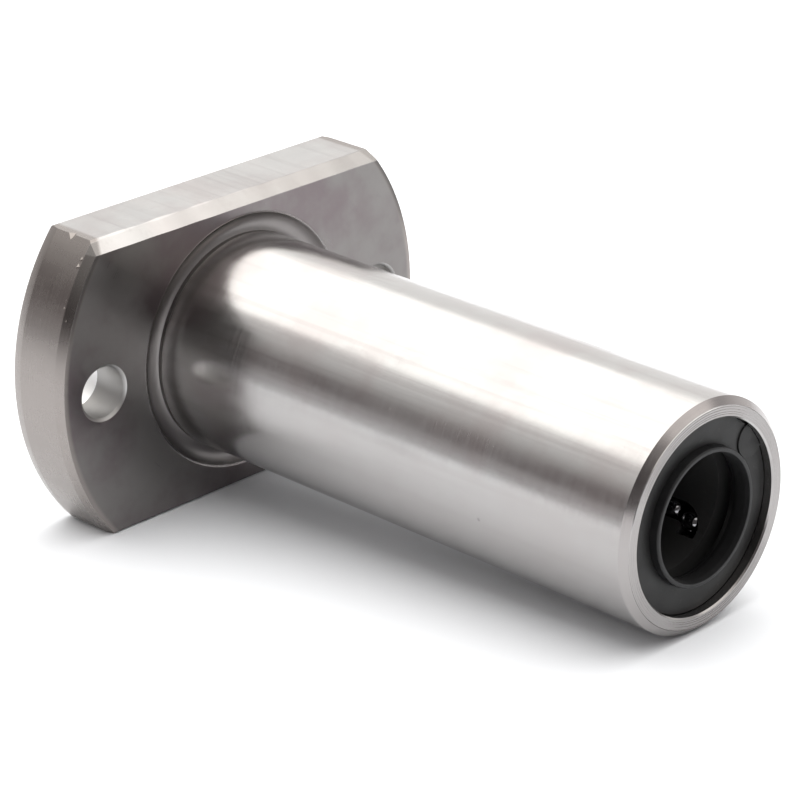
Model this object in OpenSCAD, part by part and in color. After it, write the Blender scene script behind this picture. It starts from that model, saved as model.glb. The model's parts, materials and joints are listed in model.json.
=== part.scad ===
// Long linear ball bushing with an oval flange, for a round shaft.
// Millimetres. X runs along the bore: the flange's outer face is at X = 0 and
// the tube's free end is at X = sleeve_len. The two bolt holes lie along Y and
// Z is normal to the flange's two flats. End "a" is the flange end and end "b"
// is the free end; each end has its own ball cage, snap ring, side plate and lip.

/* [Sleeve] */
// Outside diameter of the tube, the size of the housing bore
sleeve_d = 15; // [15:0.1:16]
// Length from the flange's outer face to the free end
sleeve_len = 45; // [45:0.5:50]
// Inside diameter of the tube
inner_d = 12.5; // [12.5:0.05:12.7]
// Chamfer on the tube's outer end edge
end_chamfer = 0.45; // [0.2:0.05:0.6]
// Chamfer on the edges of both end mouths
mouth_chamfer = 0.1; // [0.05:0.05:0.2]

/* [Flange] */
// Diameter of the flange's two curved edges
flange_d = 32; // [30:0.5:34]
// Distance between the flange's two flats
flange_flats = 20.5; // [18:0.5:22]
// Thickness of the flange
flange_t = 5; // [4.5:0.1:6]
// Length, along the bore, of the small bevels on three edges of the flats
flat_bevel_x = 0.2; // [0.15:0.05:0.6]
// Depth of the small bevels on three edges of the flats
flat_bevel_z = 0.15; // [0.1:0.05:0.5]
// Length, along the bore, of the broad bevel on the upper flat at the tube's side
top_bevel_x = 0.85; // [0.6:0.05:1]
// Depth of the broad bevel on the upper flat
top_bevel_z = 0.7; // [0.5:0.05:0.8]
// Length, along the bore, of the slight tapers at the curved edges
rim_bevel_x = 0.8; // [0.4:0.1:1]
// Depth of the tapers at the curved edges
rim_bevel_r = 0.16; // [0.1:0.02:0.2]
// Radial width of the relief groove in the flange's face, round the tube
relief_w = 1.35; // [1.2:0.05:1.5]
// Depth of the relief groove
relief_depth = 0.5; // [0.4:0.05:0.6]
// Radius of the relief groove's rounded bottom
relief_r = 0.95; // [0.95:0.05:1.1]
// Distance between the two bolt holes
bolt_pitch = 25; // [24:0.5:25]
// Diameter of the plain part of a bolt hole
bolt_d = 3.5; // [3:0.1:3.6]
// Diameter of the pocket for the bolt's head
bolt_head_d = 6; // [5.6:0.1:6]
// Depth of the pocket for the bolt's head
bolt_head_depth = 2.2; // [2:0.1:3.1]
// Bevel on the rim of a bolt hole at the tube's side
bolt_bevel = 0.2; // [0.1:0.05:0.5]

/* [Balls] */
// Diameter of the shaft that runs in the bushing
shaft_d = 8; // [8:0.01:8.02]
// Radial play left round the shaft
shaft_play = 0.02; // [0.01:0.01:0.04]
// Diameter of a ball
ball_d = 1.5875; // [1.58:0.0005:1.59]
// Distance between the centres of neighbouring balls in a row
ball_pitch = 1.7; // [1.66:0.005:1.72]
// Balls in the loaded row and in the return row of one circuit
row_balls = 9; // [6:1:9]
// Balls in each turn of one circuit
turn_balls = 2; // [2:1:2]
// Distance between neighbouring balls in a turn, along its arc
turn_pitch = 1.8; // [1.78:0.005:1.81]
// Ball circuits round the shaft
circuits = 4; // [3:1:4]
// Angle of the first circuit round the bore, from straight up
first_circuit = 57; // [0:1:90]
// Play between a ball and its channel, all round
ball_play = 0.05; // [0.04:0.01:0.07]
// Depth of the channel's shelves below the balls' centres
shelf_depth = 0.55; // [0.4:0.05:0.6]

/* [Cages] */
// Outside diameter of a cage
cage_d = 12.3; // [12.25:0.05:12.35]
// Inside diameter of a cage
cage_bore_d = 8.4; // [8.4:0.02:8.46]
// Distance from the sleeve's end face to the near end of its cage
cage_inset = 2.55; // [2.55:0.05:2.8]
// Width of a hardened race land that a loaded row rolls on
land_w = 2.2; // [2:0.1:2.4]
// Play between a race land and the loaded balls
land_play = 0.02; // [0.02:0.01:0.05]
// Gap between a race land and the cage's channel for it
land_gap = 0.1; // [0.05:0.05:0.15]

/* [Ends] */
// Depth of the side plate below the sleeve's end face
plate_inset = 0.75; // [0.6:0.05:0.9]
// Thickness of the side plate
plate_t = 0.9; // [0.8:0.05:0.95]
// Diameter where the side plate meets the lip ring
lip_seat_d = 8.84; // [8.8:0.02:9]
// Diameter of the lip ring's hidden foot, behind the side plate
lip_foot_d = 10.6; // [10:0.1:11]
// Thickness of the lip ring's foot
lip_foot_t = 0.4; // [0.3:0.05:0.5]
// Depth of the lip ring's crown below the sleeve's end face
lip_inset = 0.05; // [0.05:0.05:0.3]
// Diameter of the lip ring's mouth
lip_mouth_d = 8.2; // [8.16:0.02:8.3]
// Length of the lip's sealing edge along the shaft
lip_edge = 0.6; // [0.4:0.05:0.6]
// Distance from the sleeve's end face to the snap ring's groove
groove_inset = 1.75; // [1.75:0.01:1.8]
// Width of the snap ring's groove
groove_w = 0.7; // [0.65:0.01:0.7]
// Diameter of the snap ring's groove
groove_d = 13.3; // [13.2:0.05:13.5]
// Height of the snap ring's section, measured along the radius
snap_h = 0.85; // [0.7:0.05:0.9]
// Play between the snap ring and its groove, all round
snap_play = 0.03; // [0.02:0.01:0.04]
// Angle of the gap in the snap ring
snap_gap = 40; // [20:5:60]

/* [Hidden] */
$fn = 96;
circuit_parts = ["loaded", "turn_front", "return", "turn_rear"];

steel = [0.72, 0.71, 0.71];
ball_steel = [0.84, 0.84, 0.86];
black_plastic = [0.09, 0.09, 0.1];
black_rubber = [0.05, 0.05, 0.055];
spring_steel = [0.5, 0.5, 0.52];
eps = 0.01;
bore_r = shaft_d / 2 + shaft_play;
inner_r = inner_d / 2;
ball_r = ball_d / 2;
channel_r = ball_r + ball_play;
floor_half_w = sqrt(pow(ball_r, 2) - pow(shelf_depth, 2)) + ball_play;
// The centre of a loaded ball stands this far from the bore's axis.
track_h = bore_r + ball_r;
land_r = track_h + ball_r + land_play;
// A turn's arc is a whole number of its pitches, so the balls stay evenly spaced.
turn_r = turn_balls * turn_pitch / PI;
straight_len = row_balls * ball_pitch;
cage_len = sleeve_len / 2 - cage_inset;
turn_step = 180 / turn_balls;

function ball_node(end, n, part) = str("balls_", end, n, "_", part);
// Middle of an end's ball circuits along X.
function circuit_x(end) = end == "a" ? cage_inset + cage_len / 2 : sleeve_len / 2 + cage_len / 2;
function circuit_angle(n) = first_circuit + (n - 1) * 360 / circuits;

// Turns a shape drawn round Z so that it lies along X.
module along_bore() rotate([90, 0, 90]) children();

// Places what is drawn inward from X = 0 at the given end of the sleeve.
module at_end(end) {
    if (end == "a") children();
    else translate([sleeve_len, 0, 0]) mirror([1, 0, 0]) children();
}

module ring(d_out, d_in, len, x = 0) {
    translate([x, 0, 0]) along_bore() difference() {
        cylinder(d = d_out, h = len);
        translate([0, 0, -eps]) cylinder(d = d_in, h = len + 2 * eps);
    }
}

// ---- Sleeve: tube, flange and race lands in one hardened piece ----

module tube_solid() {
    r = sleeve_d / 2;
    along_bore() rotate_extrude() polygon([
        [0, 0], [r, 0], [r, sleeve_len - end_chamfer], [r - end_chamfer, sleeve_len], [0, sleeve_len]
    ]);
}

// Half of a section across the flange: a rectangle whose two outer corners are cut.
function bevelled_half(reach, bevel_x, bevel_reach) = [
    [0, reach - bevel_reach], [bevel_x, reach],
    [flange_t - bevel_x, reach], [flange_t, reach - bevel_reach]
];

module flange_solid() {
    rim = bevelled_half(flange_d / 2, rim_bevel_x, rim_bevel_r);
    flat = bevelled_half(flange_flats / 2, flat_bevel_x, flat_bevel_z);
    top_bevel = [
        [flange_t - top_bevel_x, flange_flats / 2], [flange_t, flange_flats / 2 - top_bevel_z]
    ];
    intersection() {
        along_bore() rotate_extrude() polygon([
            [0, 0], for (point = rim) [point.y, point.x], [0, flange_t]
        ]);
        rotate([90, 0, 0]) linear_extrude(flange_d + 2, center = true) polygon([
            flat[0], flat[1], each top_bevel, for (i = [3 : -1 : 0]) [flat[i].x, -flat[i].y]
        ]);
    }
}

// A plain hole with a pocket for the bolt's head in the flange's outer face.
module bolt_hole() {
    along_bore() {
        translate([0, 0, -eps]) cylinder(d = bolt_d, h = flange_t + 2 * eps);
        translate([0, 0, -eps]) cylinder(d = bolt_head_d, h = bolt_head_depth + eps);
        translate([0, 0, flange_t - bolt_bevel])
            cylinder(d1 = bolt_d, d2 = bolt_d + 2 * bolt_bevel + 2 * eps, h = bolt_bevel + eps);
    }
}

// Round-bottomed groove in the flange's face. The tube is joined on after it is
// cut, so the groove ends at the tube's surface.
module relief_groove() {
    bottom = flange_t - relief_depth;
    half_w = sqrt(pow(relief_r, 2) - pow(relief_r - relief_depth, 2));
    along_bore() translate([0, 0, bottom + relief_r]) rotate_extrude()
        translate([sleeve_d / 2 + relief_w - half_w, 0]) circle(r = relief_r, $fn = 48);
}

module end_mouth() {
    along_bore() {
        translate([0, 0, -eps])
            cylinder(r1 = inner_r + mouth_chamfer + eps, r2 = inner_r, h = mouth_chamfer + eps);
        translate([0, 0, groove_inset]) cylinder(d = groove_d, h = groove_w);
    }
}

// Raised strip that the loaded balls press on, above one circuit's loaded row.
module race_land(end, n) {
    translate([circuit_x(end), 0, 0]) rotate([circuit_angle(n), 0, 0]) intersection() {
        ring(inner_d + 0.4, 2 * land_r, straight_len, -straight_len / 2);
        translate([0, 0, inner_r]) cube([straight_len, land_w, inner_r], center = true);
    }
}

module sleeve() {
    color(steel) {
        difference() {
            union() {
                tube_solid();
                difference() {
                    flange_solid();
                    relief_groove();
                }
            }
            translate([-1, 0, 0]) along_bore() cylinder(d = inner_d, h = sleeve_len + 2);
            for (end = ["a", "b"]) at_end(end) end_mouth();
            for (side = [-1, 1]) translate([0, side * bolt_pitch / 2, 0]) bolt_hole();
        }
        for (end = ["a", "b"], n = [1 : circuits]) race_land(end, n);
    }
}

// ---- Cages ----

// Flat outline of one circuit, a ring with straight sides: the loaded row runs
// along X at Y = 0 and the return row at Y = 2 * turn_r.
module circuit_outline(half_w) {
    difference() {
        stadium(turn_r + half_w);
        stadium(turn_r - half_w);
    }
}

module stadium(r) {
    translate([0, turn_r]) {
        square([straight_len, 2 * r], center = true);
        for (side = [-1, 1]) translate([side * straight_len / 2, 0]) circle(r = r);
    }
}

// Channel of one circuit, open to the outside of the cage. Its narrower floor
// breaks through to the shaft under the loaded row, and keeps the balls in.
module circuit_channel() {
    translate([0, 0, track_h - shelf_depth]) linear_extrude(inner_r) circuit_outline(channel_r);
    translate([0, 0, track_h - channel_r]) linear_extrude(inner_r) circuit_outline(floor_half_w);
}

module cage(end) {
    gap_w = land_w + 2 * land_gap;
    start = circuit_x(end) - cage_len / 2;
    color(black_plastic) difference() {
        ring(cage_d, cage_bore_d, cage_len, start);
        for (n = [1 : circuits]) translate([circuit_x(end), 0, 0]) rotate([circuit_angle(n), 0, 0]) {
            circuit_channel();
            translate([-cage_len / 2 - 1, -gap_w / 2, land_r - land_gap])
                cube([cage_len + 2, gap_w, inner_r]);
        }
    }
}

// ---- Balls: four groups make one circuit ----

// The first ball of a row, and of a turn, stands half a pitch past their joint.
module ball_row(y) {
    for (i = [0 : row_balls - 1])
        translate([(i + 0.5) * ball_pitch - straight_len / 2, y, 0]) sphere(d = ball_d, $fn = 32);
}

module ball_turn(side) {
    for (i = [0 : turn_balls - 1])
        translate([side * straight_len / 2, turn_r, 0]) rotate([0, 0, side * (i + 0.5) * turn_step])
            translate([0, -turn_r, 0]) sphere(d = ball_d, $fn = 32);
}

module balls(end, n, part) {
    color(ball_steel) translate([circuit_x(end), 0, 0]) rotate([circuit_angle(n), 0, 0])
        translate([0, 0, track_h]) {
            if (part == "loaded") ball_row(0);
            if (part == "return") ball_row(2 * turn_r);
            if (part == "turn_front") ball_turn(-1);
            if (part == "turn_rear") ball_turn(1);
        }
}

// ---- Ends ----

// Open wire ring that holds the cage in.
module snap_ring(end) {
    d = groove_d - 2 * snap_play;
    color(spring_steel) at_end(end) difference() {
        ring(d, d - 2 * snap_h, groove_w - 2 * snap_play, groove_inset + snap_play);
        translate([groove_inset - 1, 0, 0]) rotate([45, 0, 0]) rotate([90, 0, 90])
            linear_extrude(groove_w + 2) polygon([
                [0, 0], [groove_d * cos(snap_gap / 2), groove_d * sin(snap_gap / 2)],
                [groove_d * cos(snap_gap / 2), -groove_d * sin(snap_gap / 2)]
            ]);
    }
}

// Plastic washer that closes the end, with a low round moulding mark that runs
// out at its edge, and a rebate behind it for the lip ring's foot.
module side_plate(end) {
    plate_d = inner_d - 2 * snap_play;
    mark_d = 2.3;
    mark_height = 0.1;
    mark_r = 5.8;
    mark_angle = 37;
    back = plate_inset + plate_t;
    color(black_plastic) at_end(end) {
        difference() {
            ring(plate_d, lip_seat_d, plate_t, plate_inset);
            translate([back - lip_foot_t, 0, 0]) along_bore() cylinder(d = lip_foot_d, h = lip_foot_t + eps);
        }
        intersection() {
            ring(plate_d, lip_seat_d, mark_height + eps, plate_inset - mark_height);
            rotate([mark_angle, 0, 0]) translate([0, mark_r, 0]) along_bore() cylinder(d = mark_d, h = back);
        }
    }
}

// Rubber ring whose edge wipes the shaft; its crown stands proud of the plate.
module seal_lip(end) {
    seat_r = lip_seat_d / 2;
    foot_r = lip_foot_d / 2;
    mouth_r = lip_mouth_d / 2;
    back = plate_inset + plate_t;
    edge_start = lip_inset + 0.3;
    flare = 0.25;
    crown = 0.06;
    color(black_rubber) at_end(end) along_bore() rotate_extrude() polygon([
        [foot_r, back], [foot_r, back - lip_foot_t], [seat_r, back - lip_foot_t],
        [seat_r, lip_inset + crown], [seat_r - crown, lip_inset], [mouth_r, lip_inset],
        [bore_r, edge_start], [bore_r, edge_start + lip_edge], [bore_r + flare, back]
    ]);
}

sleeve();
for (end = ["a", "b"]) {
    cage(end);
    snap_ring(end);
    side_plate(end);
    seal_lip(end);
    for (n = [1 : circuits], part = circuit_parts)
        balls(end, n, part);
}
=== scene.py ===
"""Looks of a long, flanged linear ball bushing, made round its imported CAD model.

X runs along the bore, from the flange's outer face to the tube's free end. The two
bolt holes lie along Y, and Z is normal to the flange's flats. Outlines and sizes are
in millimetres and become metres when a mesh is made.
"""

import json
import math

import bmesh
import bpy
from mathutils import Matrix, Vector, noise


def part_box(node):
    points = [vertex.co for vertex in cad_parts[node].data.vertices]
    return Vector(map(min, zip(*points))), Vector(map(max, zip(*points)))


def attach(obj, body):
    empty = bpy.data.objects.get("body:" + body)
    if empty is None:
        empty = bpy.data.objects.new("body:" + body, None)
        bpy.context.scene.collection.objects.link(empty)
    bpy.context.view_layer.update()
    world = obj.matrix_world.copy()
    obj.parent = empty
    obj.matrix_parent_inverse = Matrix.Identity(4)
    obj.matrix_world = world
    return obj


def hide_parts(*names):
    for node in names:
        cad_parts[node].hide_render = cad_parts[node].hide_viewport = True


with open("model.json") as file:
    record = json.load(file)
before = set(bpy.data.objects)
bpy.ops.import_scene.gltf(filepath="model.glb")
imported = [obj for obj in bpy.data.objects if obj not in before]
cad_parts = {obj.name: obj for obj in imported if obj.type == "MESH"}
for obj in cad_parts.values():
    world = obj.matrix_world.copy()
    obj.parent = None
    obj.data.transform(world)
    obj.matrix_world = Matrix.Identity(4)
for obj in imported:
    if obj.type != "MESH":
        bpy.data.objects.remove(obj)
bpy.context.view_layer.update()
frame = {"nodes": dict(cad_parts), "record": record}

# ---------------------------------------------------------------- sizes, in mm

MM = 0.001
ENDS = ("a", "b")


def mount(name):
    return next(m for m in frame["record"]["mounts"] if m["name"] == name)


def box_mm(node):
    low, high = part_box(node)
    return low / MM, high / MM


SLEEVE_HIGH = box_mm("sleeve")[1]
LENGTH = SLEEVE_HIGH.x
FLANGE_R = SLEEVE_HIGH.y
FLAT_Z = SLEEVE_HIGH.z
FLANGE_T = mount("flange_seat")["pos_m"][0] / MM
TUBE_R = mount("housing_spigot")["dims"]["r_mm"]
BORE_R = mount("shaft_bore")["dims"]["r_mm"]
BOLT_Y = mount("flange_bolts")["dims"]["spacing_x_mm"] / 2
BOLT_R = mount("flange_bolts")["dims"]["hole_r_mm"]
PLATE_LOW, PLATE_HIGH = box_mm("side_plate_a")
LIP_LOW, LIP_HIGH = box_mm("seal_lip_a")
RING_LOW, RING_HIGH = box_mm("snap_ring_a")

SNAP_PLAY = 0.03
INNER_R = PLATE_HIGH.y + SNAP_PLAY
PLATE_FACE = PLATE_LOW.x
PLATE_BACK = PLATE_HIGH.x
LIP_CROWN = LIP_LOW.x
LIP_FOOT_R = LIP_HIGH.y
GROOVE_R = RING_HIGH.y + SNAP_PLAY
GROOVE_START = RING_LOW.x - SNAP_PLAY
GROOVE_END = RING_HIGH.x + SNAP_PLAY

END_CHAMFER = 0.45
MOUTH_CHAMFER = 0.1
RIM_TAPER_X = 0.8
RIM_TAPER_R = 0.16
RELIEF_W = 1.35
RELIEF_DEPTH = 0.5
RELIEF_R = 0.95
POCKET_R = 3.0
POCKET_DEPTH = 2.2
BOLT_BEVEL = 0.2
BROAD_BEVEL_X = 0.85
BROAD_BEVEL_Z = 0.72
SMALL_BEVEL_X = 0.2
SMALL_BEVEL_Z = 0.15
BACK_BEVEL_X = 0.15
BACK_BEVEL_Z = 0.1
LIP_SEAT_R = 4.42
LIP_MOUTH_R = 4.1
LIP_FOOT_T = 0.4
LIP_EDGE = 0.6
LAND_W = 2.2
LAND_R = 5.6275
MARK_R = 1.15
MARK_HEIGHT = 0.1
MARK_REACH = 5.8
MARK_ANGLE = 37
RIM_START = FLANGE_R - 0.6
FACE_START = TUBE_R + RELIEF_W

# ------------------------------------------------------------- mesh functions


def arc(centre, radius, start, end, steps):
    """Points on an arc, from one angle in degrees to another, about (x, r)."""
    points = []
    for i in range(steps + 1):
        angle = math.radians(start + (end - start) * i / steps)
        points.append((centre[0] + radius * math.cos(angle), centre[1] + radius * math.sin(angle)))
    return points


def soften(outline, radius, steps=3):
    """Rounds each corner of a closed outline with a short curve."""
    soft = []
    count = len(outline)
    for i, point in enumerate(outline):
        here = Vector(point)
        back = Vector(outline[i - 1]) - here
        ahead = Vector(outline[(i + 1) % count]) - here
        if math.pi - back.angle(ahead) < math.radians(8):
            soft.append(tuple(here))
            continue
        start = here + back.normalized() * min(radius, back.length * 0.45)
        end = here + ahead.normalized() * min(radius, ahead.length * 0.45)
        for step in range(steps + 1):
            t = step / steps
            soft.append(tuple(start * (1 - t) ** 2 + here * 2 * t * (1 - t) + end * t ** 2))
    return soft


def place_mesh(name, bm):
    """Puts a finished bmesh into the scene as an object."""
    mesh = bpy.data.meshes.new(name)
    bm.to_mesh(mesh)
    bm.free()
    made = bpy.data.objects.new(name, mesh)
    bpy.context.scene.collection.objects.link(made)
    return made


def mesh_object(name, points, faces):
    """A mesh object from points in millimetres, with its normals turned outward."""
    bm = bmesh.new()
    verts = [bm.verts.new(Vector(point) * MM) for point in points]
    for face in faces:
        bm.faces.new([verts[i] for i in face])
    bmesh.ops.remove_doubles(bm, verts=bm.verts, dist=1e-7)
    bmesh.ops.recalc_face_normals(bm, faces=bm.faces)
    return place_mesh(name, bm)


def lathe(name, outline, segments, centre=(0.0, 0.0), end="a"):
    """Turns a closed outline of (x, r) points about a line along X."""
    points = []
    for i in range(segments):
        angle = 2 * math.pi * i / segments
        y, z = math.cos(angle), math.sin(angle)
        for x, r in outline:
            points.append((x if end == "a" else LENGTH - x, centre[0] + r * y, centre[1] + r * z))
    count = len(outline)
    faces = []
    for i in range(segments):
        this, after = i * count, ((i + 1) % segments) * count
        for j in range(count):
            k = (j + 1) % count
            faces.append((this + j, this + k, after + k, after + j))
    faces = [f for f in faces if len({tuple(round(c, 6) for c in points[i]) for i in f}) > 2]
    return mesh_object(name, points, faces)


def loft(name, sections):
    """A closed solid through a row of outlines that have the same number of points."""
    count = len(sections[0])
    points = [point for section in sections for point in section]
    faces = []
    for i in range(len(sections) - 1):
        for j in range(count):
            k = (j + 1) % count
            faces.append((i * count + j, i * count + k, (i + 1) * count + k, (i + 1) * count + j))
    faces.append(tuple(range(count)))
    faces.append(tuple(range(len(points) - count, len(points))))
    return mesh_object(name, points, faces)


def settle(piece):
    """Replaces the piece's mesh by the result of its modifiers."""
    graph = bpy.context.evaluated_depsgraph_get()
    mesh = bpy.data.meshes.new_from_object(piece.evaluated_get(graph))
    piece.modifiers.clear()
    piece.data = mesh


def combine(piece, tools, operation="DIFFERENCE"):
    """Cuts the tools out of the piece, or joins them to it, and removes them."""
    for tool in tools:
        step = piece.modifiers.new("step", "BOOLEAN")
        step.operation = operation
        step.solver = "EXACT"
        step.object = tool
        settle(piece)
        bpy.data.objects.remove(tool)


def shade(piece, angle=28):
    piece.data.shade_smooth()
    piece.data.set_sharp_from_angle(angle=math.radians(angle))


# -------------------------------------------------------------------- material


class Graph:
    """Short calls for building the nodes of a material or of the world."""

    def __init__(self, holder, shader):
        holder.use_nodes = True
        self.holder = holder
        self.nodes = holder.node_tree.nodes
        self.links = holder.node_tree.links
        self.shader = self.nodes[shader]
        self.coordinates = self.nodes.new("ShaderNodeTexCoord").outputs

    def put(self, socket, value):
        if isinstance(value, bpy.types.NodeSocket):
            self.links.new(value, socket)
        else:
            socket.default_value = value

    def stretch(self, vector, scale):
        node = self.nodes.new("ShaderNodeVectorMath")
        node.operation = "MULTIPLY"
        self.put(node.inputs[0], vector)
        self.put(node.inputs[1], scale)
        return node.outputs[0]

    def noise(self, vector, scale, detail=3.0, rough=0.55, seed=0.0):
        node = self.nodes.new("ShaderNodeTexNoise")
        node.noise_dimensions = "4D"
        self.put(node.inputs["Vector"], vector)
        self.put(node.inputs["W"], seed)
        self.put(node.inputs["Scale"], scale)
        self.put(node.inputs["Detail"], detail)
        self.put(node.inputs["Roughness"], rough)
        return node.outputs["Fac"]

    def cells(self, vector, scale, seed=0.0):
        node = self.nodes.new("ShaderNodeTexVoronoi")
        node.voronoi_dimensions = "4D"
        self.put(node.inputs["Vector"], vector)
        self.put(node.inputs["W"], seed)
        self.put(node.inputs["Scale"], scale)
        return node.outputs["Distance"]

    def split(self, vector):
        node = self.nodes.new("ShaderNodeSeparateXYZ")
        self.put(node.inputs[0], vector)
        return node.outputs

    def join(self, x, y, z):
        node = self.nodes.new("ShaderNodeCombineXYZ")
        for socket, value in zip(node.inputs, (x, y, z)):
            self.put(socket, value)
        return node.outputs[0]

    def math(self, operation, *values):
        node = self.nodes.new("ShaderNodeMath")
        node.operation = operation
        for socket, value in zip(node.inputs, values):
            self.put(socket, value)
        return node.outputs[0]

    def times(self, first, second):
        return self.math("MULTIPLY", first, second)

    def plus(self, first, second):
        return self.math("ADD", first, second)

    def reach(self, first, second):
        """Length of the vector (first, second)."""
        return self.math("SQRT", self.plus(self.times(first, first), self.times(second, second)))

    def ramp(self, value, low, high, out_low=0.0, out_high=1.0):
        """Value from low to high becomes out_low to out_high, and stays within them."""
        node = self.nodes.new("ShaderNodeMapRange")
        node.interpolation_type = "SMOOTHSTEP"
        for socket, number in zip(node.inputs, (value, low, high, out_low, out_high)):
            self.put(socket, number)
        return node.outputs[0]

    def mix(self, factor, first, second):
        node = self.nodes.new("ShaderNodeMix")
        node.data_type = "RGBA"
        self.put(node.inputs[0], factor)
        self.put(node.inputs[6], first)
        self.put(node.inputs[7], second)
        return node.outputs[2]

    def blend(self, factor, first, second):
        node = self.nodes.new("ShaderNodeMix")
        self.put(node.inputs[0], factor)
        self.put(node.inputs[2], first)
        self.put(node.inputs[3], second)
        return node.outputs[0]

    def bump(self, height, depth, normal=None):
        """Height from 0 to 1 stands for depth, in millimetres."""
        node = self.nodes.new("ShaderNodeBump")
        self.put(node.inputs["Strength"], 1.0)
        self.put(node.inputs["Distance"], depth * MM)
        self.put(node.inputs["Height"], height)
        if normal is not None:
            self.put(node.inputs["Normal"], normal)
        return node.outputs["Normal"]

    def finish(self, **sockets):
        for name, value in sockets.items():
            self.put(self.shader.inputs[name.replace("_", " ")], value)
        return self.holder


class Look(Graph):
    """A material's nodes; place is in millimetres."""

    def __init__(self, name):
        super().__init__(bpy.data.materials.new(name), "Principled BSDF")
        self.normal = self.coordinates["Normal"]
        self.place = self.stretch(self.coordinates["Object"], (1 / MM, 1 / MM, 1 / MM))


def rgb(r, g, b):
    return (r, g, b, 1.0)


def sleeve_zones(g):
    """Masks from 0 to 1 for the sleeve's surfaces that have a finish or a shade of their own, and for the
    surfaces that carry painted shade or a painted highlight.
    """
    x, y, z = g.split(g.place)
    radius = g.reach(y, z)
    ends = g.ramp(g.math("ABSOLUTE", g.split(g.normal)[0]), 0.75, 0.92)
    face_or_back = g.math("MAXIMUM", g.ramp(radius, FACE_START, FACE_START + 0.1), g.ramp(x, 1.0, 0.5))
    rim = g.ramp(radius, RIM_START, RIM_START + 0.3)
    taper_x = FLANGE_T - RIM_TAPER_X
    taper = g.times(rim, g.ramp(x, taper_x - 0.03, taper_x + 0.03))
    groove_x = FLANGE_T - RELIEF_DEPTH
    below_face = g.ramp(x, FLANGE_T + 0.02, FLANGE_T - 0.08)
    below_face = g.times(below_face, g.ramp(x, groove_x - 1.1, groove_x - 0.9))
    groove = g.times(g.ramp(radius, FACE_START + 0.05, FACE_START - 0.08), below_face)
    chamfer_x, chamfer_r = LENGTH - END_CHAMFER, TUBE_R - END_CHAMFER
    bolt = g.reach(g.math("SUBTRACT", g.math("ABSOLUTE", y), BOLT_Y), z)
    pocket = g.times(g.ramp(bolt, POCKET_R + 0.06, POCKET_R + 0.01),
                     g.ramp(x, POCKET_DEPTH + 0.05, POCKET_DEPTH - 0.05))
    # mask of the broad bevel on the upper flat, which carries painted shade
    bevel = g.times(g.ramp(z, FLAT_Z - BROAD_BEVEL_Z - 0.08, FLAT_Z - BROAD_BEVEL_Z + 0.02),
                    g.ramp(x, FLANGE_T - BROAD_BEVEL_X - 0.05, FLANGE_T - BROAD_BEVEL_X + 0.05))
    # painted shade: the tube's lower half is darkened, more so away from the flange
    belly = g.times(g.ramp(z, 3.0, 0.5), g.ramp(radius, TUBE_R + 0.2, TUBE_R + 0.1))
    return {
        "ends": ends,
        "face": g.times(ends, face_or_back),
        "rim": rim,
        # painted shade on the upper side of the front taper
        "upper_taper": g.times(taper, g.ramp(z, 2.5, 6.5)),
        "groove": groove,
        # painted shade in the relief groove round the tube's root
        "outer_groove": g.times(groove, g.ramp(radius, INNER_R + 0.5, TUBE_R - 0.05)),
        "chamfer": g.times(g.ramp(x, chamfer_x - 0.02, chamfer_x + 0.02),
                           g.ramp(radius, chamfer_r, chamfer_r + 0.03)),
        "bolt": g.ramp(bolt, BOLT_R + 0.28, BOLT_R + 0.02),
        "pocket": pocket,
        # painted highlight on the bolt pocket's wall
        "pocket_wall": g.times(pocket, g.ramp(bolt, POCKET_R - 0.12, POCKET_R - 0.04)),
        "bevel": g.times(bevel, g.ramp(y, -12.0, 12.0, 0.35, 0.8)),
        "belly": g.times(belly, g.ramp(x, FLANGE_T + 3.0, FLANGE_T + 7.0, 0.15, 0.75)),
    }


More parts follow.
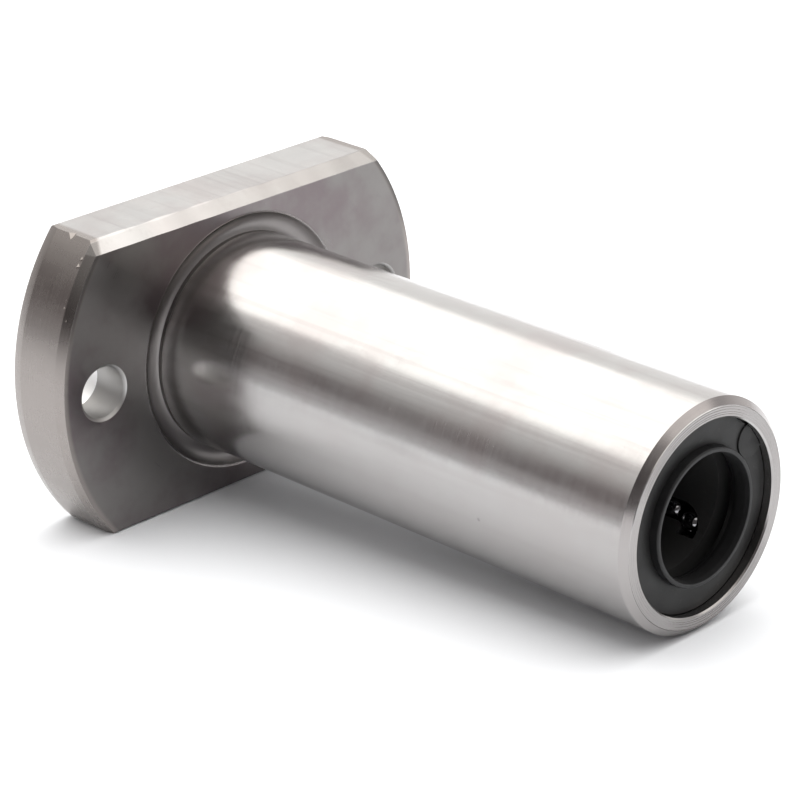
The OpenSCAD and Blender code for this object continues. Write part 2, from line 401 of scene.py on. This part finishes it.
def ground_steel(name):
    """Hardened steel, ground round the tube and turned on its end faces."""
    g = Look(name)
    zone = sleeve_zones(g)
    x, y, z = g.split(g.place)
    ground = g.noise(g.join(g.times(x, 9.0), g.times(y, 0.25), g.times(z, 0.25)), 1.0, 4.0, 0.6, 1.0)
    turned = g.noise(g.join(g.times(g.reach(y, z), 9.0), 0.0, g.times(x, 0.3)), 1.0, 4.0, 0.6, 2.0)
    fine = g.blend(zone["ends"], ground, turned)
    cloud = g.noise(g.place, 0.16, 4.0, 0.62, 3.0)
    smear = g.noise(g.stretch(g.place, (0.3, 1.0, 1.0)), 0.45, 5.0, 0.65, 4.0)
    streak = g.noise(g.stretch(g.place, (0.02, 1.5, 1.5)), 1.0, 4.0, 0.6, 8.0)
    sparse = g.ramp(g.noise(g.place, 0.3, 1.0, 0.5, 6.0), 0.6, 0.66)
    pit = g.times(g.ramp(g.cells(g.place, 0.55, 5.0), 0.05, 0.09, 1.0, 0.0), sparse)
    scratch_line = g.cells(g.stretch(g.place, (0.12, 3.0, 3.0)), 0.7, 7.0)
    scratch = g.times(g.ramp(scratch_line, 0.02, 0.05, 1.0, 0.0), g.ramp(cloud, 0.5, 0.6))

    tint = g.mix(g.ramp(cloud, 0.38, 0.64), rgb(0.53, 0.525, 0.52), rgb(0.49, 0.465, 0.46))
    # painted shade: the flange's front and back faces get a tint far darker than the steel, standing in
    # for the darker room they reflect
    face_shade_tint = g.mix(g.ramp(cloud, 0.4, 0.62), rgb(0.215, 0.205, 0.2), rgb(0.18, 0.155, 0.16))
    for mask, color in (
        (g.ramp(smear, 0.56, 0.74, 0.0, 0.35), rgb(0.40, 0.365, 0.36)),
        (g.ramp(streak, 0.5, 0.68, 0.0, 0.3), rgb(0.36, 0.335, 0.33)),
        (g.times(zone["ends"], 0.8), rgb(0.275, 0.26, 0.255)),
        # painted shade on the flange's faces
        (zone["face"], face_shade_tint),
        (zone["rim"], rgb(0.30, 0.275, 0.262)),
        (pit, rgb(0.12, 0.11, 0.11)),
        # painted shade: the relief groove and the tube's root inside it are darkened like the flange's
        # face
        (zone["outer_groove"], rgb(0.24, 0.226, 0.222)),
        (zone["chamfer"], rgb(0.36, 0.335, 0.33)),
        # painted shade: the upper part of the flange's front taper is made nearly black
        (zone["upper_taper"], rgb(0.13, 0.12, 0.115)),
        (zone["bolt"], rgb(0.36, 0.352, 0.345)),
        (zone["pocket"], rgb(0.34, 0.33, 0.325)),
        # painted highlight: the bolt pocket's wall is tinted near white, brighter than any steel, so it
        # shows as light inside the bolt hole
        (zone["pocket_wall"], rgb(0.93, 0.93, 0.93)),
        # painted shade: the broad bevel is darkened, more towards +Y
        (zone["bevel"], rgb(0.36, 0.345, 0.335)),
        # painted shade on the tube's lower half
        (zone["belly"], rgb(0.36, 0.345, 0.34)),
    ):
        tint = g.mix(mask, tint, color)

    gloss = g.blend(g.ramp(smear, 0.35, 0.7), 0.17, 0.25)
    for share in (
        g.times(zone["rim"], 0.07),
        g.ramp(fine, 0.3, 0.7, -0.02, 0.03),
        g.times(scratch, 0.1),
        g.times(zone["face"], 0.12),
        g.times(zone["groove"], 0.2),
        g.times(g.math("MAXIMUM", zone["bolt"], zone["pocket"]), 0.3),
    ):
        gloss = g.plus(gloss, share)

    dents = g.plus(g.times(pit, -1.0), g.times(scratch, -0.12))
    bumps = g.bump(dents, 0.02, g.bump(smear, 0.006, g.bump(fine, 0.0005)))
    return g.finish(Base_Color=tint, Metallic=1.0, Roughness=gloss, Normal=bumps)


def moulded_plastic(name, low=0.01, high=0.019):
    """Black moulded plastic with a fine matt grain; low and high bound its lightness."""
    g = Look(name)
    cloud = g.noise(g.place, 0.5, 4.0, 0.6, 1.0)
    grain = g.noise(g.place, 22.0, 3.0, 0.6, 2.0)
    scuff = g.ramp(g.noise(g.stretch(g.place, (0.4, 1.0, 1.0)), 2.6, 5.0, 0.7, 3.0), 0.58, 0.75)
    tint = g.mix(cloud, rgb(low, low, low), rgb(high, high, high))
    tint = g.mix(g.times(scuff, 0.35), tint, rgb(0.075, 0.072, 0.07))
    gloss = g.ramp(cloud, 0.3, 0.7, 0.42, 0.55)
    return g.finish(Base_Color=tint, Roughness=gloss, Specular_IOR_Level=0.34, Normal=g.bump(grain, 0.004))


def seal_rubber(name):
    """Black nitrile rubber, a little greasy."""
    g = Look(name)
    cloud = g.noise(g.place, 0.8, 4.0, 0.6, 1.0)
    grain = g.noise(g.place, 16.0, 4.0, 0.6, 2.0)
    tint = g.mix(cloud, rgb(0.0065, 0.0065, 0.007), rgb(0.0125, 0.0125, 0.0135))
    x, y, z = g.split(g.place)
    mouth_shade = g.ramp(g.reach(y, z), LIP_MOUTH_R + 0.06, LIP_MOUTH_R + 0.01)
    # painted shade: the lip's mouth is darkened towards black; the same mask also makes it rougher
    tint = g.mix(mouth_shade, tint, rgb(0.003, 0.003, 0.0035))
    gloss = g.plus(g.ramp(cloud, 0.3, 0.7, 0.38, 0.52), g.times(mouth_shade, 0.4))
    return g.finish(Base_Color=tint, Roughness=gloss, Specular_IOR_Level=0.34, Normal=g.bump(grain, 0.005))


def polished_steel(name):
    """Polished bearing balls with a trace of oil; their tint is kept far below bare steel as painted shade
    for the dark bore they sit in.
    """
    g = Look(name)
    film = g.noise(g.place, 1.4, 3.0, 0.5, 1.0)
    # painted shade: the dark tint stands for the bore's shade; the film noise is the oil
    tint = g.mix(film, rgb(0.34, 0.34, 0.35), rgb(0.24, 0.24, 0.25))
    return g.finish(Base_Color=tint, Metallic=1.0, Roughness=g.ramp(film, 0.3, 0.7, 0.06, 0.12),
                    Normal=g.bump(film, 0.002))


def spring_steel(name):
    """Dark, oil-tempered spring wire."""
    g = Look(name)
    stain = g.noise(g.place, 1.2, 4.0, 0.6, 1.0)
    drawn = g.noise(g.stretch(g.place, (8.0, 1.0, 1.0)), 1.5, 3.0, 0.6, 2.0)
    tint = g.mix(stain, rgb(0.24, 0.23, 0.23), rgb(0.34, 0.33, 0.34))
    return g.finish(Base_Color=tint, Metallic=1.0, Roughness=g.ramp(stain, 0.3, 0.7, 0.28, 0.42),
                    Normal=g.bump(drawn, 0.003))


def white_sweep(name):
    g = Look(name)
    tint = g.mix(g.noise(g.place, 0.02, 2.0, 0.5, 1.0), rgb(0.85, 0.87, 0.90), rgb(0.87, 0.888, 0.915))
    return g.finish(Base_Color=tint, Roughness=0.9)


def dress(piece, material):
    piece.data.materials.clear()
    piece.data.materials.append(material)


def dress_node(node, material):
    """Gives a CAD node's own slots the material."""
    piece = frame["nodes"][node]
    for holder in piece.material_slots:
        holder.material = material


# ---------------------------------------------------------------------- sleeve


def sleeve_outline():
    """Half section of tube and flange as one closed outline, before the flats are cut.

    The two points on the flange's face beside its edges keep the face's shading flat.
    """
    relief_half = math.sqrt(RELIEF_R ** 2 - (RELIEF_R - RELIEF_DEPTH) ** 2)
    centre_r = TUBE_R + RELIEF_W - relief_half
    centre_x = FLANGE_T - RELIEF_DEPTH + RELIEF_R
    first = math.degrees(math.atan2(relief_half, FLANGE_T - centre_x))
    last = 180 + math.degrees(math.asin((centre_r - TUBE_R) / RELIEF_R))
    steps = 3
    flange = soften([
        (0, INNER_R + MOUTH_CHAMFER), (0, FLANGE_R - RIM_TAPER_R), (RIM_TAPER_X, FLANGE_R),
        (FLANGE_T - RIM_TAPER_X, FLANGE_R), (FLANGE_T, FLANGE_R - RIM_TAPER_R),
    ], 0.04, steps)[steps + 1:]
    edge_r = centre_r + relief_half
    relief = [(FLANGE_T, FLANGE_R - RIM_TAPER_R - 0.12), (FLANGE_T, edge_r + 0.2)]
    relief += [(FLANGE_T, edge_r + 0.13), (FLANGE_T - 0.012, edge_r + 0.05)]
    relief += arc((centre_x, centre_r), RELIEF_R, first + 5, last, 14)
    rim_r = TUBE_R - END_CHAMFER
    mouth_r = INNER_R + MOUTH_CHAMFER
    end = [(LENGTH - END_CHAMFER, TUBE_R), (LENGTH - 0.03, rim_r + 0.01)]
    end += [(LENGTH - 0.06, rim_r - 0.01), (LENGTH, rim_r - 0.05)]
    line_half, line_depth = 0.02, 0.012
    for share in (0.86, 0.62, 0.38, 0.2):
        r = mouth_r + (rim_r - mouth_r) * share
        end += [(LENGTH, r + line_half), (LENGTH - line_depth, r), (LENGTH, r - line_half)]
    end += [(LENGTH, mouth_r), (LENGTH - MOUTH_CHAMFER, INNER_R)]
    inside = [
        (LENGTH - GROOVE_START, INNER_R), (LENGTH - GROOVE_START, GROOVE_R),
        (LENGTH - GROOVE_END, GROOVE_R), (LENGTH - GROOVE_END, INNER_R),
        (GROOVE_END, INNER_R), (GROOVE_END, GROOVE_R),
        (GROOVE_START, GROOVE_R), (GROOVE_START, INNER_R),
        (MOUTH_CHAMFER, INNER_R), (0, INNER_R + MOUTH_CHAMFER),
    ]
    return flange + relief + end + inside


def flat_cutter(side):
    """What is cut away above one flat. The upper one has a broad, uneven bevel at the tube's side."""
    sections = []
    stations = 90
    for i in range(stations + 1):
        y = (2 * i / stations - 1) * (FLANGE_R + 0.5)
        front_x, front_z = SMALL_BEVEL_X, SMALL_BEVEL_Z
        if side > 0:
            waver = noise.noise(Vector((y * 0.55, 3.0, 0.0))) * 0.16
            front_x = BROAD_BEVEL_X - 0.012 * y + waver
            front_z = BROAD_BEVEL_Z + 0.1 * waver
        over = 0.5
        outline = [
            (-over, FLAT_Z - BACK_BEVEL_Z * (1 + over / BACK_BEVEL_X)), (BACK_BEVEL_X, FLAT_Z),
            (FLANGE_T - front_x, FLAT_Z), (FLANGE_T + over, FLAT_Z - front_z * (1 + over / front_x)),
            (FLANGE_T + over, FLANGE_R + 1), (-over, FLANGE_R + 1),
        ]
        sections.append([(x, y, side * h) for x, h in outline])
    return loft("flat_cutter", sections)


def bolt_cutter(side):
    """The plain hole, the pocket for the bolt's head and the bevel at the tube's side."""
    over = 0.5
    soft = 0.06
    outline = [(-over, 0), (-over, POCKET_R + soft + over), (soft, POCKET_R)]
    outline += [(POCKET_DEPTH - soft, POCKET_R), (POCKET_DEPTH, POCKET_R - soft)]
    outline += [(POCKET_DEPTH, BOLT_R + soft), (POCKET_DEPTH + soft, BOLT_R)]
    outline += [(FLANGE_T - BOLT_BEVEL, BOLT_R), (FLANGE_T - BOLT_BEVEL / 2, BOLT_R + 0.06)]
    outline += [(FLANGE_T, BOLT_R + BOLT_BEVEL), (FLANGE_T + over, BOLT_R + BOLT_BEVEL + over)]
    outline += [(FLANGE_T + over, 0)]
    return lathe("bolt_cutter", outline, 96, (side * BOLT_Y, 0.0))


def circuit_places():
    """(first x, last x, angle about the bore) of each circuit's loaded row."""
    places = []
    for end in ENDS:
        number = 1
        while f"balls_{end}{number}_loaded" in frame["nodes"]:
            low, high = box_mm(f"balls_{end}{number}_loaded")
            middle = (low + high) / 2
            places.append((low.x, high.x, math.atan2(middle.z, middle.y)))
            number += 1
    return places


def race_land(start, stop, angle):
    """The raised strip that one loaded row presses on."""
    half = math.asin(LAND_W / 2 / LAND_R)
    turns = [angle - half + 2 * half * i / 8 for i in range(9)]
    outline = [(LAND_R * math.cos(t), LAND_R * math.sin(t)) for t in turns]
    outer = INNER_R + 0.2
    outline += [(outer * math.cos(t), outer * math.sin(t)) for t in reversed(turns)]
    return loft("race_land", [[(x, y, z) for y, z in outline] for x in (start, stop)])


def faceted_lump(points):
    """A small faceted solid round a few points."""
    bm = bmesh.new()
    verts = [bm.verts.new(Vector(point) * MM) for point in points]
    bmesh.ops.convex_hull(bm, input=verts)
    bmesh.ops.recalc_face_normals(bm, faces=bm.faces)
    return place_mesh("faceted_lump", bm)


def rim_point(x, angle, sink=0.0):
    """A point on the flange's curved edge; the angle is from -Y towards +Z, in degrees."""
    reach = FLANGE_R - sink
    turn = math.radians(angle)
    return (x, -reach * math.cos(turn), reach * math.sin(turn))


def rim_burr(x, angle, length, width, height):
    """A faceted speck of metal thrown up on the flange's curved edge."""
    half = math.degrees(width / 2 / FLANGE_R)
    return faceted_lump([
        rim_point(x - length / 2, angle, 0.01), rim_point(x + length / 2, angle, 0.01),
        rim_point(x, angle - half, 0.01), rim_point(x, angle + half, 0.01),
        rim_point(x + length / 6, angle - half * 0.5, -height), rim_point(x, angle, 0.15),
    ])


def make_sleeve(material):
    piece = lathe("sleeve_body", sleeve_outline(), 360)
    lands = [race_land(*place) for place in circuit_places()]
    combine(piece, lands, "UNION")
    edge_y = -math.sqrt(FLANGE_R ** 2 - FLAT_Z ** 2)
    notch_x = 2.35
    notch = faceted_lump([
        (notch_x - 0.42, edge_y + 0.02, FLAT_Z + 0.02), (notch_x + 0.36, edge_y + 0.02, FLAT_Z + 0.02),
        (notch_x, edge_y + 0.3, FLAT_Z + 0.01), (notch_x, edge_y - 0.22, FLAT_Z - 0.34),
        (notch_x, edge_y - 0.9, FLAT_Z + 0.4),
    ])
    burrs = [
        rim_burr(4.02, 35.2, 0.28, 0.4, 0.12),
        rim_burr(3.98, 33.4, 0.36, 0.42, 0.15),
        rim_burr(4.05, 23.3, 0.16, 0.18, 0.08),
        rim_burr(4.5, 20.6, 0.18, 0.18, 0.09),
    ]
    combine(piece, [flat_cutter(1), flat_cutter(-1), bolt_cutter(1), bolt_cutter(-1), notch])
    combine(piece, burrs, "UNION")
    shade(piece)
    dress(piece, material)
    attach(piece, "bushing")
    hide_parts("sleeve")


# ------------------------------------------------------------------------ ends


def make_plate(end, material):
    """The washer at one end, with its low round moulding mark."""
    plate_r = INNER_R - SNAP_PLAY
    rebate_x = PLATE_BACK - LIP_FOOT_T
    outline = soften([
        (PLATE_FACE, LIP_SEAT_R), (PLATE_FACE, plate_r), (PLATE_BACK, plate_r),
        (PLATE_BACK, LIP_FOOT_R), (rebate_x, LIP_FOOT_R), (rebate_x, LIP_SEAT_R),
    ], 0.05)
    piece = lathe(f"end_plate_{end}", outline, 192, end=end)
    mark = soften([
        (PLATE_FACE - MARK_HEIGHT, 0.001), (PLATE_FACE - MARK_HEIGHT, MARK_R), (PLATE_FACE, MARK_R + 0.02),
        (PLATE_FACE + 0.2, MARK_R + 0.02), (PLATE_FACE + 0.2, 0.001),
    ], 0.02)
    turn = math.radians(MARK_ANGLE)
    disc = lathe("mark", mark, 64, (MARK_REACH * math.cos(turn), MARK_REACH * math.sin(turn)), end)
    limit = lathe("limit", [
        (0.0, LIP_SEAT_R), (0.0, plate_r), (PLATE_BACK, plate_r), (PLATE_BACK, LIP_SEAT_R),
    ], 192, end=end)
    combine(disc, [limit], "INTERSECT")
    combine(piece, [disc], "UNION")
    shade(piece)
    dress(piece, material)
    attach(piece, "bushing")
    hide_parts(f"side_plate_{end}")


def make_lip(end, material):
    """The rubber ring that wipes the shaft."""
    crown = 0.07
    edge_start = LIP_CROWN + 0.3
    foot_x = PLATE_BACK - LIP_FOOT_T
    outline = soften([
        (PLATE_BACK, LIP_FOOT_R), (foot_x, LIP_FOOT_R), (foot_x, LIP_SEAT_R),
        (LIP_CROWN + crown, LIP_SEAT_R), (LIP_CROWN, LIP_SEAT_R - crown), (LIP_CROWN, LIP_MOUTH_R + 0.02),
        (edge_start, BORE_R), (edge_start + LIP_EDGE, BORE_R), (PLATE_BACK, BORE_R + 0.25),
    ], 0.04)
    piece = lathe(f"end_lip_{end}", outline, 192, end=end)
    shade(piece)
    dress(piece, material)
    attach(piece, "bushing")
    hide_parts(f"seal_lip_{end}")


# ----------------------------------------------------------------------- stage

VIEW_AZIMUTH = 44.604
VIEW_ELEVATION = 23.632
VIEW_ROLL = -0.352
VIEW_DISTANCE = 208.5
VIEW_TARGET = Vector((22.105, 0.0, 0.0))
VIEW_ACROSS = -1.842
VIEW_UP = 0.691
LENS_MM = 147.06


def place_camera():
    azimuth, elevation = math.radians(VIEW_AZIMUTH), math.radians(VIEW_ELEVATION)
    level_part = math.cos(elevation)
    back = Vector((math.sin(azimuth) * level_part, -math.cos(azimuth) * level_part, math.sin(elevation)))
    level = Vector((math.cos(azimuth), math.sin(azimuth), 0.0))
    roll = Matrix.Rotation(math.radians(VIEW_ROLL), 3, back)
    across, up = roll @ level, roll @ back.cross(level)
    data = bpy.data.cameras.new("camera")
    data.lens = LENS_MM
    data.sensor_width = 36.0
    data.clip_start = 0.01
    data.clip_end = 20.0
    camera = bpy.data.objects.new("camera", data)
    bpy.context.scene.collection.objects.link(camera)
    spot = (VIEW_TARGET + back * VIEW_DISTANCE + across * VIEW_ACROSS + up * VIEW_UP) * MM
    turn = Matrix((across, up, back)).transposed().to_4x4()
    camera.matrix_world = Matrix.Translation(spot) @ turn
    bpy.context.scene.camera = camera


def place_floor():
    """The bushing lies on its flange's lower edge and on the end of its tube."""
    foot = Vector((FLANGE_T - 0.4, 0.0, -FLAT_Z))
    toe = Vector((LENGTH - END_CHAMFER, 0.0, -TUBE_R))
    slope = math.atan2(toe.z - foot.z, toe.x - foot.x)
    half = 1500.0
    bm = bmesh.new()
    bmesh.ops.create_grid(bm, x_segments=8, y_segments=8, size=half * MM)
    floor = place_mesh("floor", bm)
    gap = Vector((0.0, 0.0, 0.02))
    floor.matrix_world = Matrix.Translation((foot - gap) * MM) @ Matrix.Rotation(-slope, 4, "Y")
    dress(floor, white_sweep("white_sweep"))


def area_light(name, at, aim, size, radiance, color, reflected=True):
    """A softbox with its centre at one point, facing another; both in metres."""
    data = bpy.data.lights.new(name, "AREA")
    data.shape = "RECTANGLE"
    data.size, data.size_y = size
    data.energy = radiance * size[0] * size[1] * math.pi
    data.color = color
    lamp = bpy.data.objects.new(name, data)
    bpy.context.scene.collection.objects.link(lamp)
    direction = Vector(aim) - Vector(at)
    lamp.matrix_world = Matrix.Translation(at) @ direction.to_track_quat("-Z", "Y").to_matrix().to_4x4()
    lamp.visible_glossy = reflected
    return lamp


def light_room():
    """A studio that is darker on the -Y side and in front, and bright overhead."""
    room = bpy.data.worlds.new("studio")
    bpy.context.scene.world = room
    g = Graph(room, "Background")
    x, y, z = g.split(g.coordinates["Generated"])
    height = g.nodes.new("ShaderNodeValToRGB")
    g.put(height.inputs[0], z)
    stops = height.color_ramp.elements
    stops[0].position, stops[0].color = 0.0, rgb(0.62, 0.61, 0.61)
    stops[1].position, stops[1].color = 0.75, rgb(1.2, 1.18, 1.15)
    for position, color in (
        (0.10, rgb(0.52, 0.49, 0.49)), (0.18, rgb(0.19, 0.165, 0.165)),
        (0.30, rgb(0.26, 0.235, 0.232)), (0.50, rgb(0.78, 0.76, 0.745)),
    ):
        stops.new(position).color = color
    sides = g.mix(g.ramp(y, -0.65, 0.35), height.outputs[0], rgb(1.12, 1.1, 1.08))
    front = g.mix(g.ramp(y, -0.3, 0.6), rgb(0.14, 0.13, 0.13), rgb(0.5, 0.49, 0.49))
    g.finish(Color=g.mix(g.ramp(x, 0.0, 0.45), sides, front))


def light_scene():
    """One big softbox overhead, light for the floor alone, and the room."""
    warm, cool = (1.0, 0.975, 0.925), (0.97, 0.98, 1.0)
    area_light("overhead_box", (-0.06, 0.155, 0.42), (-0.06, 0.155, 0.0), (1.12, 0.87), 1.1, warm)
    area_light("floor_fill", (0.1, 0.2, 0.9), (0.1, 0.2, 0.0), (1.6, 1.6), 0.7, cool, False)
    light_room()
    bpy.context.scene.view_settings.view_transform = "Standard"


def main():
    place_camera()
    place_floor()
    light_scene()
    steel = ground_steel("ground_steel_look")
    plastic = moulded_plastic("plastic_look")
    cage_plastic = moulded_plastic("cage_look", 0.03, 0.045)
    rubber = seal_rubber("rubber_look")
    balls = polished_steel("ball_look")
    spring = spring_steel("spring_look")
    make_sleeve(steel)
    for end in ENDS:
        make_plate(end, plastic)
        make_lip(end, rubber)
        dress_node(f"cage_{end}", cage_plastic)
        dress_node(f"snap_ring_{end}", spring)
    for node in frame["nodes"]:
        if node.startswith("balls_"):
            dress_node(node, balls)


main()
